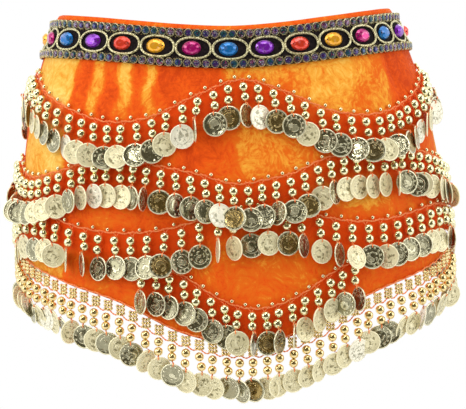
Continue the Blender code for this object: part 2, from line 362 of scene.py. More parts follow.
def panel_gather(arc, down):
    pull = ease((np.abs(arc) - GATHER_START) / (HALF_ROUND - GATHER_START))
    return pull * GATHER_DEPTH * np.cos(2 * math.pi * GATHERS * down)


def creases(arc, height):
    """The small soft creases, each a trough or a ridge that fades out at its ends."""
    total = np.zeros(np.broadcast(arc, height).shape)
    for centre, level, length, slant, depth, width in CREASES:
        slope = math.radians(slant)
        along = (arc - centre) * math.cos(slope) + (height - level) * math.sin(slope)
        bow = 0.12 * length * (along / length) ** 2
        across = (height - level) * math.cos(slope) - (arc - centre) * math.sin(slope) - bow
        fade = np.exp(-((2 * along / length) ** 4))
        total = total + depth * fade * np.exp(-((across / width) ** 2))
    return total


def pile(arc, height):
    """Which way the pile lies, with its sheen painted: above 0 it is painted bright, below 0 deep."""
    total = np.zeros(np.broadcast(arc, height).shape)
    for centre, level, half_width, half_height, slant, strength in PILE_SHEEN_PATCHES:
        lean = math.tan(math.radians(slant))
        across = np.abs(arc - centre - lean * (height - level) + 2.2 * np.sin(height * 0.21 + centre))
        up = np.abs(height - level + 3.0 * np.sin(arc * 0.13 + level))
        side = 1 - ease((across - half_width + 2.5) / 5.0)
        end = 1 - ease((up - half_height + 7.0) / 14.0)
        total = total + strength * side * end
    return total


class Number:
    """A number in a node tree; sums on it are written as Python and add its Math nodes."""

    def __init__(self, nodes, socket):
        self.nodes = nodes
        self.socket = socket

    def step(self, operation, *others, flipped=False):
        values = (self, *others)[::-1] if flipped else (self, *others)
        return self.nodes.number("ShaderNodeMath", {"operation": operation}, dict(enumerate(values)))

    def __add__(self, other):
        return self.step("ADD", other)

    def __sub__(self, other):
        return self.step("SUBTRACT", other)

    def __rsub__(self, other):
        return self.step("SUBTRACT", other, flipped=True)

    def __mul__(self, other):
        return self.step("MULTIPLY", other)

    def __pow__(self, other):
        return self.step("POWER", other)

    def smooth(self, low, high):
        """0 below low, 1 above high and a soft step between them."""
        sockets = {"Value": self, "From Min": low, "From Max": high}
        return self.nodes.number("ShaderNodeMapRange", {"interpolation_type": "SMOOTHSTEP"}, sockets)


class Nodes:
    """A node tree that is being put together."""

    def __init__(self, tree):
        self.tree = tree
        tree.nodes.clear()

    def node(self, kind, settings=None, sockets=None):
        """One node: its settings first, then a value or a link for each socket."""
        made = self.tree.nodes.new(kind)
        for name, value in (settings or {}).items():
            setattr(made, name, value)
        for name, value in (sockets or {}).items():
            self.set_socket(made.inputs[name], value)
        return made

    def set_socket(self, socket, value):
        if isinstance(value, Number):
            value = value.socket
        if isinstance(value, bpy.types.NodeSocket):
            self.tree.links.new(value, socket)
        elif socket.type == "RGBA":
            socket.default_value = (*value, 1.0)
        else:
            socket.default_value = value

    def output(self, kind, settings=None, sockets=None, output=0):
        return self.node(kind, settings, sockets).outputs[output]

    def number(self, kind, settings=None, sockets=None, output=0):
        return Number(self, self.output(kind, settings, sockets, output))

    def ramp(self, value, stops):
        made = self.node("ShaderNodeValToRGB", None, {"Fac": value})
        elements = made.color_ramp.elements
        while len(elements) < len(stops):
            elements.new(0.5)
        for element, (position, colour) in zip(elements, stops):
            element.position = position
            element.color = (*colour, 1.0)
        return made.outputs[0]


class Recipe(Nodes):
    """A material that is being put together."""

    def __init__(self, name):
        self.material = bpy.data.materials.new(name)
        self.material.use_nodes = True
        super().__init__(self.material.node_tree)
        self.shader = self.node("ShaderNodeBsdfPrincipled")
        self.node("ShaderNodeOutputMaterial", None, {"Surface": self.shader.outputs[0]})

    def attribute(self, name):
        return self.number("ShaderNodeAttribute", {"attribute_name": name}, None, "Fac")

    def place(self, uv=None):
        """Object coordinates, or a UV map."""
        if uv:
            return self.output("ShaderNodeUVMap", {"uv_map": uv})
        return self.output("ShaderNodeTexCoord", output="Object")

    def across_and_up(self, vector):
        parts = self.node("ShaderNodeSeparateXYZ", None, {"Vector": vector}).outputs
        return Number(self, parts[0]), Number(self, parts[1])

    def noise(self, vector, scale, detail=2.0, roughness=0.5, distortion=0.0):
        sockets = {"Vector": vector, "Scale": scale, "Detail": detail}
        sockets.update({"Roughness": roughness, "Distortion": distortion})
        return self.number("ShaderNodeTexNoise", None, sockets)

    def mix(self, share, first, second):
        return self.output("ShaderNodeMix", {"data_type": "RGBA"}, {0: share, 6: first, 7: second}, 2)

    def bump(self, height, strength, distance):
        return self.output(
            "ShaderNodeBump", None, {"Height": height, "Strength": strength, "Distance": distance}
        )

    def finish(self, **values):
        """Set or link the shader's own sockets, whose names have _ for each space."""
        for name, value in values.items():
            self.set_socket(self.shader.inputs[name.replace("_", " ")], value)
        return self.material


def scarf():
    return bpy.context.scene.hip_scarf


@functools.cache
def velvet_finish():
    """Crushed velvet: patches and streaks of pile that lie in different directions, their sheen painted into
    the colour, with painted shade on the cloth behind the beads.
    """
    sizes = scarf()
    recipe = Recipe("crushed_velvet")
    flat = recipe.place("cloth")
    wander = recipe.output("ShaderNodeTexNoise", None, {"Vector": flat, "Scale": 34.0}, 1)
    drift = recipe.output("ShaderNodeVectorMath", {"operation": "SCALE"}, {0: wander, "Scale": 0.03})
    warped = recipe.output("ShaderNodeVectorMath", {"operation": "ADD"}, {0: flat, 1: drift})
    tall = recipe.output("ShaderNodeMapping", None, {"Vector": warped, "Scale": (1.0, 0.34, 1.0)})
    patches = recipe.noise(warped, 30.0, 2.0, 0.45)
    streaks = recipe.noise(tall, 95.0, 3.0, 0.55)
    mottle = recipe.noise(warped, 300.0, 4.0, 0.62)
    grain = recipe.noise(flat, 1500.0)
    laid = recipe.attribute("pile")
    # Painted sheen: the noise and the pile's lie run the colour from deep to bright, as the pile's sheen
    # would
    crush_and_sheen = patches * 0.32 + streaks * 0.18 + mottle * 0.36 + 0.07 + laid * 0.165 + (grain - 0.5) * 0.10
    stops = (
        (0.34, sizes.velvet_deep),
        (0.46, sizes.velvet_red),
        (0.56, sizes.velvet_orange),
        (0.65, sizes.velvet_bright),
        (0.74, sizes.velvet_glow),
        (0.84, (1.0, 0.70, 0.19)),
    )
    # Painted shade: the cloth behind the beads is mixed towards velvet_shade, a deeper red
    shaded = recipe.attribute("under_beads") * 0.85
    height = patches * 0.6 + streaks * 0.5 + mottle * 0.6 + grain * 0.15
    return recipe.finish(
        Base_Color=recipe.mix(shaded, recipe.ramp(crush_and_sheen, stops), sizes.velvet_shade),
        Roughness=0.7,
        Specular_IOR_Level=0.12,
        Sheen_Weight=0.12,
        Sheen_Roughness=0.4,
        Sheen_Tint=(1.0, 0.42, 0.08),
        Normal=recipe.bump(height, 0.5, 0.0018),
    )


def grained_finish(name, scale, detail, stops, bump=None, **values):
    """A plain surface: fine noise runs through a few colours and may raise the surface."""
    recipe = Recipe(name)
    grain = recipe.noise(recipe.place(), scale, detail)
    if bump:
        values["Normal"] = recipe.bump(grain, *bump)
    return recipe.finish(Base_Color=recipe.ramp(grain, stops), **values)


@functools.cache
def thread_finish():
    stops = ((0.35, (1.0, 0.15, 0.015)), (0.65, (1.0, 0.42, 0.12)))
    return grained_finish("coral_thread", 900.0, 3.0, stops, (0.4, 0.0004), Roughness=0.6, Sheen_Weight=0.2)


@functools.cache
def bead_finish(on_hem):
    """Polished beads; those of the hem are a deeper gold than those on the velvet."""
    recipe = Recipe("deep_gold_bead" if on_hem else "pale_gold_bead")
    wear = recipe.noise(recipe.place(), 420.0, 3.0)
    bright = scarf().hem_bead_gold if on_hem else scarf().bead_gold
    return recipe.finish(
        Base_Color=recipe.ramp(wear, ((0.35, [0.86 * part for part in bright]), (0.65, bright))),
        Metallic=0.96,
        Roughness=wear * 0.08 + 0.06,
    )


@functools.cache
def coin_finish():
    """Stamped thin metal: a rim, a broken ring of dots, a broken line and an uneven middle.

    A coin's shade says its kind: dull and pale up to 0.45, painted near white to 0.52 as a painted
    reflection of the lamps, gold with a darker ground above that, and brown in its middle from 0.9.
    More coins are dull and pale towards the sides and on the hem, where they paint a brighter
    reflection. Radii are shares of the coin's: the dots are at 0.73, the line from 0.55 to 0.65 and
    the rim from 0.86.
    """
    recipe = Recipe("stamped_coin")
    shade = recipe.attribute("shade")
    across, up = (part * 2.0 - 1.0 for part in recipe.across_and_up(recipe.place("coin_face")))
    radius = (across * across + up * up) ** 0.5
    angle = across.step("ARCTAN2", up)
    dots = 12
    share = (angle * (dots / (2 * math.pi))).step("FRACT") - 0.5
    dot = ((share * share) * 0.17 + (radius - 0.73) * (radius - 0.73)) ** 0.5
    beading = (1.0 - dot.smooth(0.05, 0.11)) * (angle + shade * 23.0).step("SINE").smooth(-0.75, -0.35)
    rim = radius.smooth(0.86, 0.90)
    ring = radius.smooth(0.55, 0.59) * (1.0 - radius.smooth(0.61, 0.65))
    ring = ring * (angle + shade * 9.0).step("SINE").smooth(-0.5, 0.1)
    face = {0: across * 0.5, 1: up * 0.5, 2: shade * 9.0}
    shifted = recipe.output("ShaderNodeCombineXYZ", None, face)
    worn = recipe.noise(shifted, 5.5, 3.0)
    figure = recipe.noise(shifted, 4.2, 1.0, 0.4, 0.8).smooth(0.49, 0.55)
    figure = figure * (1.0 - radius.smooth(0.42, 0.50))
    pits = recipe.noise(shifted, 7.0, 2.0, 0.5, 0.5).smooth(0.53, 0.59) * (1.0 - radius.smooth(0.62, 0.70))
    relief = beading + rim * 0.8 + ring * 0.8 + figure * 0.8 + worn * 0.35
    marks = beading * 0.8 + rim * 0.9 + ring * 0.7 + figure * 0.6
    raised = (marks + worn.smooth(0.45, 0.75) * 0.35).smooth(0.0, 1.0)
    lines = (pits * 0.8 + ring * 0.45 + beading * 0.35).smooth(0.0, 1.0)
    gold = recipe.ramp(
        raised,
        ((0.0, (0.35, 0.33, 0.21)), (0.45, (0.60, 0.57, 0.38)), (1.0, scarf().coin_gold)),
    )
    plain = recipe.ramp(
        raised * 0.5 - pits * 0.5 + 0.5,
        ((0.0, (0.28, 0.24, 0.11)), (0.5, (0.80, 0.72, 0.43)), (1.0, (1.0, 0.92, 0.60))),
    )
    # Painted reflection: coins of the near-white kind are painted cream white with darker lines, as if they
    # caught the lamps, and are made less metallic
    glare_white = recipe.ramp(lines, ((0.0, (1.0, 0.95, 0.74)), (1.0, (0.40, 0.38, 0.25))))
    dull = 1.0 - shade.smooth(0.44, 0.46)
    bright = shade.smooth(0.46, 0.47) * (1.0 - shade.smooth(0.52, 0.53))
    brown = shade.smooth(0.88, 0.93) * (1.0 - radius.smooth(0.74, 0.82))
    colour = recipe.mix(bright, recipe.mix(dull, gold, plain), glare_white)
    return recipe.finish(
        Base_Color=recipe.mix(brown * 0.8, colour, (0.44, 0.29, 0.08)),
        Metallic=0.94 - dull * 0.64 - bright * 0.70 - raised * (1.0 - dull - bright) * 0.24,
        Roughness=worn * 0.18 + dull * 0.12 + bright * 0.10 + 0.11,
        Normal=recipe.bump(relief, 0.85, 0.0006),
    )


@functools.cache
def cord_finish():
    stops = ((0.36, (0.24, 0.20, 0.07)), (0.60, (0.98, 0.91, 0.55)))
    return grained_finish("gold_cord", 1100.0, 2.0, stops, (0.6, 0.0005), Metallic=0.6, Roughness=0.36)


def braid_finish():
    """Black ribbon with a fine rib across it and flecks of gold yarn along its two edges."""
    recipe = Recipe("black_braid")
    along, down = recipe.across_and_up(recipe.place("ribbon"))

    def wave(position, length):
        return (position * (2 * math.pi / length)).step("SINE")

    rib = wave(along, 1.1) * 0.5 + 0.5
    weft = wave(down, 0.9) * 0.5 + 0.5
    edge = ((down - TRIM_HEIGHT / 2) * (down - TRIM_HEIGHT / 2)) ** 0.5
    lattice = (wave(along + down, 3.2) * 0.5 + 0.5) * wave(along - down, 3.2).smooth(-0.2, 0.6)
    gold = lattice.smooth(0.42, 0.7) * edge.smooth(6.6, 8.2)
    fleck = recipe.noise(recipe.place(), 700.0, 3.0)
    base = recipe.ramp(fleck, ((0.35, (0.003, 0.002, 0.003)), (0.7, (0.022, 0.014, 0.014))))
    return recipe.finish(
        Base_Color=recipe.mix(gold * 0.8, base, (0.46, 0.34, 0.13)),
        Metallic=gold * 0.6,
        Roughness=0.75,
        Specular_IOR_Level=0.12,
        Normal=recipe.bump(rib * 0.5 + weft * 0.5 + gold, 0.5, 0.0004),
    )


def stone_finish():
    """Foiled oval stones, each with its own colour, with painted glints and a painted glow."""
    recipe = Recipe("oval_stone")
    tint = recipe.output("ShaderNodeAttribute", {"attribute_name": "stone_colour"}, None, "Color")
    # Painted glints: pale flecks mixed into the stone's colour
    glint = recipe.noise(recipe.place(), 260.0, 2.0, 0.5, 1.5).smooth(0.48, 0.74)
    return recipe.finish(
        Base_Color=recipe.mix(glint * 0.22, tint, (1.0, 0.75, 0.80)),
        Metallic=0.55,
        Roughness=0.08,
        Coat_Weight=0.5,
        Coat_Roughness=0.03,
        # Painted glow: the stone gives off a little light in its own colour
        Emission_Color=tint,
        Emission_Strength=0.12,
    )


def hole_finish():
    stops = ((0.3, (0.004, 0.003, 0.006)), (0.7, (0.03, 0.02, 0.03)))
    return grained_finish("sew_hole", 900.0, 2.0, stops, Roughness=0.6)


def small_stone_finish():
    """Small foiled stones whose colour runs through violet, blue, green and pink, with near-white flecks
    that are painted glints.
    """
    recipe = Recipe("small_stone")
    play_and_glints = recipe.noise(recipe.place(), 430.0, 2.0, 0.6, 1.2)
    stops = (
        (0.0, (0.008, 0.010, 0.05)),
        (0.20, (0.07, 0.012, 0.13)),
        (0.36, (0.012, 0.035, 0.17)),
        (0.50, (0.01, 0.11, 0.09)),
        (0.64, (0.015, 0.015, 0.04)),
        (0.78, (0.03, 0.01, 0.03)),
        (0.85, (0.42, 0.03, 0.16)),
        (0.92, (0.04, 0.12, 0.20)),
        # Painted glints: near-white flecks
        (1.0, (0.62, 0.62, 0.66)),
    )
    return recipe.finish(
        Base_Color=recipe.ramp((recipe.attribute("shade") + play_and_glints * 1.6).step("FRACT"), stops),
        Metallic=0.45,
        Roughness=0.16,
        Coat_Weight=0.6,
    )


def floor_finish():
    stops = ((0.3, (0.84, 0.84, 0.85)), (0.7, (0.90, 0.90, 0.90)))
    return grained_finish("pale_floor", 3.0, 2.0, stops, Roughness=0.7)


def add_object(name, data):
    thing = bpy.data.objects.new(name, data)
    bpy.context.scene.collection.objects.link(thing)
    return thing


def add_piece(name, mesh):
    piece = add_object(name, mesh)
    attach(piece, BODY)
    return piece


def store(mesh, label, values, kind="FLOAT", field="value"):
    """Write a named attribute: one value, or one vector, for each point of the mesh."""
    layer = mesh.attributes.new(label, kind, "POINT")
    layer.data.foreach_set(field, np.array(values, np.float32).ravel())


def make_piece(name, points, faces, material, slot, uv=None, attributes=None, weld=False):
    """A closed piece from points in millimetres. uv is a name and a place for each point."""
    mesh = bpy.data.meshes.new(name)
    mesh.from_pydata((points.reshape(-1, 3) / METRE).tolist(), [], faces)
    mesh.update()
    mesh.shade_smooth()
    if uv:
        layer = mesh.uv_layers.new(name=uv[0])
        corners = np.empty(len(mesh.loops), dtype=np.int32)
        mesh.loops.foreach_get("vertex_index", corners)
        layer.data.foreach_set("uv", uv[1].reshape(-1, 2).astype(np.float32)[corners].ravel())
    for label, values in (attributes or {}).items():
        store(mesh, label, values)
    mesh.materials.append(material)
    builder = bmesh.new()
    builder.from_mesh(mesh)
    if weld:
        bmesh.ops.remove_doubles(builder, verts=builder.verts, dist=1e-6)
    bmesh.ops.recalc_face_normals(builder, faces=builder.faces)
    builder.to_mesh(mesh)
    builder.free()
    return add_piece(name, mesh)


def grid_faces(columns, rows, closed=False):
    """Quads between columns of points, each column a closed ring of rows points."""
    faces = []
    for column in range(columns if closed else columns - 1):
        here = column * rows
        there = ((column + 1) % columns) * rows
        for row in range(rows):
            following = (row + 1) % rows
            faces.append((here + row, here + following, there + following, there + row))
    return faces


def caps(total, ring):
    """The two end faces of total points that come ring by ring."""
    return [tuple(range(ring)), tuple(range(total - ring, total))]


def flat_map(*parts):
    return np.stack(np.broadcast_arrays(*parts), axis=-1)


def both_faces(front, back):
    return np.concatenate([front, back[:, ::-1]], axis=1)


def shell(name, outer, inner, uv, material, slot, closed=False, attributes=None):
    """A thin piece between two grids of points, with the same flat map on its two faces."""
    rings = both_faces(outer, inner)
    columns, ring = rings.shape[:2]
    faces = grid_faces(columns, ring, closed)
    if not closed:
        faces += caps(columns * ring, ring)
    uv = (uv[0], both_faces(uv[1], uv[1]))
    return make_piece(name, rings, faces, material, slot, uv, attributes)


def tube(centres, first, second, radius, sides, closed=False):
    """Points and faces of a tube along centres; first and second span its section."""
    turns = np.arange(sides) * 2 * math.pi / sides
    first, second = (np.broadcast_to(way, centres.shape)[:, None, :] for way in (first, second))
    spread = first * np.cos(turns)[None, :, None] + second * np.sin(turns)[None, :, None]
    points = (centres[:, None, :] + spread * radius).reshape(-1, 3)
    faces = grid_faces(len(centres), sides, closed)
    if not closed:
        start, end = caps(len(points), sides)
        faces += [start[::-1], end]
    return points, faces


def merge(parts):
    """Points and faces of several shapes as one."""
    points, faces, start = [], [], 0
    for part_points, part_faces in parts:
        points.append(part_points)
        faces.extend(tuple(index + start for index in face) for face in part_faces)
        start += len(part_points)
    return np.concatenate(points), faces


def twisted_cord(path, out, lay):
    """A thread of two plies that wind round a path; lay is the length of one turn."""
    ahead = np.gradient(path, axis=0)
    ahead /= np.linalg.norm(ahead, axis=1, keepdims=True)
    across = np.cross(ahead, out)
    across /= np.linalg.norm(across, axis=1, keepdims=True)
    along = np.concatenate([[0.0], np.cumsum(np.linalg.norm(np.diff(path, axis=0), axis=1))])
    radius = scarf().thread_thickness * PLY_SHARE
    parts = []
    for start in (0.0, math.pi):
        phase = (along / lay * 2 * math.pi + start)[:, None]
        centres = path + radius * (np.cos(phase) * across + np.sin(phase) * out)
        parts.append(tube(centres, across, out, radius, 5))
    return merge(parts)


@functools.cache
def scatter_tree():
    """Geometry Nodes that set a shape on each point, turned and sized by the point's own values."""
    tree = bpy.data.node_groups.new("set_on_points", "GeometryNodeTree")
    inputs = (("Points", "Geometry"), ("Shape", "Object"), ("Finish", "Material"), ("Scale", "Float"))
    for name, kind in inputs:
        tree.interface.new_socket(name, in_out="INPUT", socket_type="NodeSocket" + kind)
    tree.interface.new_socket("Mesh", in_out="OUTPUT", socket_type="NodeSocketGeometry")
    nodes = Nodes(tree)
    given = nodes.node("NodeGroupInput").outputs
    shape = nodes.output("GeometryNodeObjectInfo", None, {"Object": given["Shape"]}, "Geometry")
    turn, size = (
        nodes.output("GeometryNodeInputNamedAttribute", {"data_type": kind}, {"Name": name}, "Attribute")
        for name, kind in (("turn", "FLOAT_VECTOR"), ("size", "FLOAT"))
    )
    rotation = nodes.output("FunctionNodeEulerToRotation", None, {"Euler": turn})
    sockets = {"Points": given["Points"], "Instance": shape, "Rotation": rotation}
    sockets["Scale"] = Number(nodes, size) * given["Scale"]
    instances = nodes.output("GeometryNodeInstanceOnPoints", None, sockets)
    real = nodes.output("GeometryNodeRealizeInstances", None, {"Geometry": instances})
    paint = {"Geometry": real, "Material": given["Finish"]}
    nodes.node("NodeGroupOutput", None, {"Mesh": nodes.output("GeometryNodeSetMaterial", None, paint)})
    return tree


def scatter(name, spots, shape, material):
    """One mesh of many small parts, one at each spot."""
    mesh = bpy.data.meshes.new(name + "_points")
    mesh.from_pydata([tuple(spot["at"] / METRE) for spot in spots], [], [])
    store(mesh, "turn", [spot["turn"].to_euler() for spot in spots], "FLOAT_VECTOR", "vector")
    for label in ("size", "shade"):
        store(mesh, label, [spot[label] for spot in spots])
    if "colour" in spots[0]:
        colours = [(*spot["colour"], 1.0) for spot in spots]
        store(mesh, "stone_colour", colours, "FLOAT_COLOR", "color")
    points = add_object(name + "_points", mesh)
    modifier = points.modifiers.new("set", "NODES")
    modifier.node_group = scatter_tree()
    inputs = {item.name: item.identifier for item in scatter_tree().interface.items_tree}
    modifier[inputs["Shape"]] = shape
    modifier[inputs["Finish"]] = material
    modifier[inputs["Scale"]] = 1.0
    depsgraph = bpy.context.evaluated_depsgraph_get()
    plain = bpy.data.meshes.new_from_object(points.evaluated_get(depsgraph), depsgraph=depsgraph)
    bpy.data.objects.remove(points, do_unlink=True)
    plain.name = name
    return add_piece(name, plain)


def shape_object(name, builder, smooth=True):
    """A small part's own mesh, kept out of the scene."""
    for face in builder.faces:
        face.smooth = smooth
    mesh = bpy.data.meshes.new(name)
    builder.to_mesh(mesh)
    builder.free()
    return bpy.data.objects.new(name, mesh)


def lathe(name, rings, segments, stretch=1.0, smooth=False):
    """A closed stack of rings about local Y. Each ring is (radius, y); radius 0 is a point."""
    builder = bmesh.new()
    made = []
    for radius, y in rings:
        turns = [2 * math.pi * k / segments for k in range(segments if radius else 1)]
        made.append([
            builder.verts.new(Vector((radius * stretch * math.cos(a), y, radius * math.sin(a))) / METRE)
            for a in turns
        ])
    for lower, upper in zip(made, made[1:]):
        for k in range(segments):
            following = (k + 1) % segments
            if len(lower) == 1:
                builder.faces.new((lower[0], upper[k], upper[following]))
            elif len(upper) == 1:
                builder.faces.new((lower[k], lower[following], upper[0]))
            else:
                builder.faces.new((lower[k], lower[following], upper[following], upper[k]))
    for ring in (made[0], made[-1]):
        if len(ring) > 1:
            builder.faces.new(ring)
    bmesh.ops.recalc_face_normals(builder, faces=builder.faces)
    return shape_object(name, builder, smooth)


def bead_shape(name, diameter, segments, rings):
    builder = bmesh.new()
    radius = diameter / 2 / METRE
    bmesh.ops.create_uvsphere(builder, u_segments=segments, v_segments=rings, radius=radius)
    return shape_object(name, builder)


def coin_shape():
    """A dished coin with a raised rim, and a flat map of its face."""
    radius = scarf().coin_diameter / 2
    half = scarf().coin_thickness / 2
    rings = (
        (0, -half * 0.7),
        (radius * 0.45, -half * 0.9),
        (radius * 0.86, -half * 0.45),
        (radius * 0.93, -half),
        (radius, -half * 0.6),
        (radius, half * 0.6),
        (radius * 0.93, half),
        (radius * 0.86, half * 0.45),
    )
    shape = lathe("coin_shape", rings, 18, smooth=True)
    layer = shape.data.uv_layers.new(name="coin_face")
    for loop in shape.data.loops:
        point = shape.data.vertices[loop.vertex_index].co * METRE / (2 * radius)
        layer.data[loop.index].uv = (point.x + 0.5, point.z + 0.5)
    return shape


def frame_matrix(along, out, turn=0.0, tilt=0.0, roll=0.0):
    """Rotation of a part that faces out: turned about up, tipped about its width, rolled in its face."""
    wide = along * math.cos(turn) + out * math.sin(turn)
    inward = along * math.sin(turn) - out * math.cos(turn)
    base = Matrix((wide, inward, (0.0, 0.0, 1.0))).transposed()
    return base @ Matrix.Rotation(tilt, 3, "X") @ Matrix.Rotation(roll, 3, "Y")


def make_spot(arc, height, lift, turn=0.0, size=1.0, shade=0.5):
    """A small part's place, rotation, size and shade; it faces the way that the cloth under it does."""
    along, out = directions(arc, height, lift - SEAT)
    matrix = frame_matrix(along, out, turn)
    return {"at": place(arc, height, lift), "turn": matrix, "size": size, "shade": shade}


def rows_of_strands():
    """Each row: name, arcs of its strands, its heading's height, and the drops of beads and coin."""
    rows = []
    for name, first, last, strands, line in SWAGS:
        arcs = np.linspace(first, last, strands)
        rows.append((name, arcs, functools.partial(curve, line, 1), SWAG_DROPS))
    arcs = np.linspace(-HEM_REACH, HEM_REACH, HEM_STRANDS)
    rows.append((HEM, arcs, lambda arc: edge_height(arc, 2), HEM_DROPS))
    return rows


def headings_below(name, arc, height):
    """The highest heading that lies under this height at an arc, or None."""
    found = []
    for other, first, last, _, line in SWAGS:
        if other != name and first - SWAG_SPARE <= arc <= last + SWAG_SPARE:
            level = float(curve(line, 1, arc))
            if level < height - 5:
                found.append(level)
    return max(found, default=None)


def under_beads(arc, height):
    """Painted shade: 1 where the cloth behind a row's beads is painted a deeper red as if shaded, 0
    elsewhere.
    """
    mask = np.zeros(np.broadcast(arc, height).shape)
    for _, first, last, _, line in SWAGS:
        drop = curve(line, 1, arc) - height
        band = ease((drop + 1.0) / 2.5) * (1 - ease((drop - BEAD_SHADE_DROP) / 9.0))
        mask = np.maximum(mask, band * (arc > first - SWAG_SPARE) * (arc < last + SWAG_SPARE))
    return mask


def coin_turn(chance, kind, arc):
    """How far a coin is turned about up: a few are edge on, some half, most lie nearly flat.

    Near the outline, as seen from the front, coins turn less or by one of three angles.
    """
    low, high = next(span for limit, *span in COIN_TURNS if kind < limit)
    turn = chance.uniform(low, high)
    if 150 < abs(arc) < 190:
        turn *= 0.6
    elif 190 <= abs(arc) < 222:
        turn = chance.choice((8, 26, 42))
    elif 222 <= abs(arc) < 262:
        turn *= 0.35
    return math.radians(turn)


def strand_spots(name, arcs, height_at, drops):
    """Where a row's large beads and coins hang, with the coins in groups that lap one way."""
    chance = random.Random(name)
    bead, coin = scarf().bead_diameter, scarf().coin_diameter
    on_hem = name == HEM
    beads, coins = [], []
    lap, left_in_group, step_out = 1.0, chance.randint(3, 7), 0.0
    for arc in arcs:
        heading = float(height_at(arc))
        sway = chance.uniform(-1.3, 1.3)
        hang = chance.uniform(-0.5, 0.7)
        for k in range(2):
            height = heading - drops[k] - hang * k
            shift = sway * (0.2 + 0.8 * k) + chance.uniform(-0.3, 0.3)
            lift = bead / 2 + (0.0 if on_hem else 0.7) + chance.uniform(0, 0.4)
            at = place(arc + shift, height, lift)
            way = directions(arc, height, lift)
            turn = frame_matrix(*way, chance.uniform(-3, 3), chance.uniform(-0.5, 0.5))
            size = HEM_BEAD_SHARE if on_hem else 1.0
            beads.append({"at": at, "turn": turn, "size": size, "shade": chance.random()})
        kind = chance.random()
        if left_in_group == 0:
            lap, left_in_group, step_out = -lap, chance.randint(3, 8), GROUP_STEP
        left_in_group -= 1
        turn = lap * coin_turn(chance, kind, arc)
        centre = heading - drops[2] - hang - chance.uniform(-0.4, 0.8) - coin / 2
        lift = COIN_LIFT + step_out
        step_out = max(0.0, step_out - GROUP_STEP_LOSS)
        tilt = chance.uniform(-5, 5)
        if on_hem:
            lift = HEM_COIN_LIFT + step_out
            tilt = chance.uniform(9, 22)
        else:
            below = headings_below(name, float(arc), heading)
            if below is not None:
                over = float(ease((below + 5 - (centre - coin / 2)) / 10))
                lift += LOWER_ROW_LIFT * over
                tilt -= LOWER_ROW_TILT * over
            lift = max(lift, 1.2 + 0.5 * coin * abs(math.sin(turn)))
        way = directions(arc, centre, lift)
        at = place(arc + sway + chance.uniform(-0.5, 0.5), centre, lift)
        roll = math.radians(chance.uniform(-12, 12))
        # Dull pale coins are a finish of their own; more of them towards the sides and on the hem paint the
        # brighter reflection that coins show there
        dull_pale_reflection_share = 0.26 + 0.16 * float(ease((abs(arc) - 110) / 60))
        if on_hem:
            dull_pale_reflection_share = HEM_DULL_PALE_REFLECTION_SHARE
        dull = chance.random() < dull_pale_reflection_share
        shade = chance.uniform(0.0, 0.44) if dull else chance.uniform(0.46, 1.0)
        turn = frame_matrix(*way, turn, math.radians(tilt), roll)
        coins.append({"at": at, "turn": turn, "size": 1.0, "shade": shade})
    return beads, coins


def coin_threads(beads, coins):
    """A short thread from each lower bead, over its coin's rim, into the hole near the top."""
    bead, coin, thick = scarf().bead_diameter, scarf().coin_diameter, scarf().coin_thickness
    parts = []
    for lower_bead, hung in zip(beads[1::2], coins):
        across, inward, upward = (np.array(hung["turn"].col[k]) for k in range(3))
        bottom = lower_bead["at"] - np.array((0, 0, bead * 0.42))
        top = hung["at"] + upward * coin / 2
        for side in (-inward, inward):
            path = np.array(
                (
                    bottom + side * END_SPACE,
                    top + side * (thick * 0.5 + 0.2) + upward * 0.2,
                    top + side * (thick * 0.5 + 0.45) - upward * 1.2,
                    top + side * (thick * 0.2) - upward * 2.3,
                )
            )
            parts.append(tube(path, across, -inward, 0.42, 4))
    return merge(parts)


def heading_cord(arcs, height_at):
    """The crocheted line of a row, with a stitch from it down to each strand's first bead."""
    lift = HEADING_LIFT
    pitch = float(arcs[1] - arcs[0])
    at = np.arange(float(arcs[0]) - 3, float(arcs[-1]) + 3, CORD_STEP)
    height = height_at(at) + 0.4 * np.cos(2 * math.pi * (at - arcs[0]) / pitch)
    _, out = directions(at, height, lift)
    loose = height + 0.75 * np.sin(at * 1.9) * (0.6 + 0.4 * np.sin(at * 0.37)) + 0.3
    stray = place(at, loose, lift + 0.5 + 0.3 * np.sin(at * 2.3))
    parts = [twisted_cord(place(at, height, lift), out, 3.4)]
    parts.append(tube(stray, (0.0, 0.0, 1.0), out, 0.24, 4))
    drops = np.array((-0.2, 1.1, 2.9))
    for arc in arcs:
        level = float(height_at(arc))
        along, out = directions(arc, level, lift)
        for side in (-1, 1):
            ends = np.array((side * 2.8, side * 1.0, side * END_SPACE))
            parts.append(tube(place(arc + ends, level - drops, lift + 0.2), along, out, 0.3, 4))
    return merge(parts)


def millimetres(name, description, default):
    return FloatProperty(name=name, description=description + ", in millimetres", default=default, min=0.1)


def metres(name, description, default):
    return FloatProperty(
        name=name, description=description + ", in metres", default=default, unit="LENGTH"
    )


def colour(name, description, default):
    return FloatVectorProperty(name=name, description=description, default=default, subtype="COLOR")


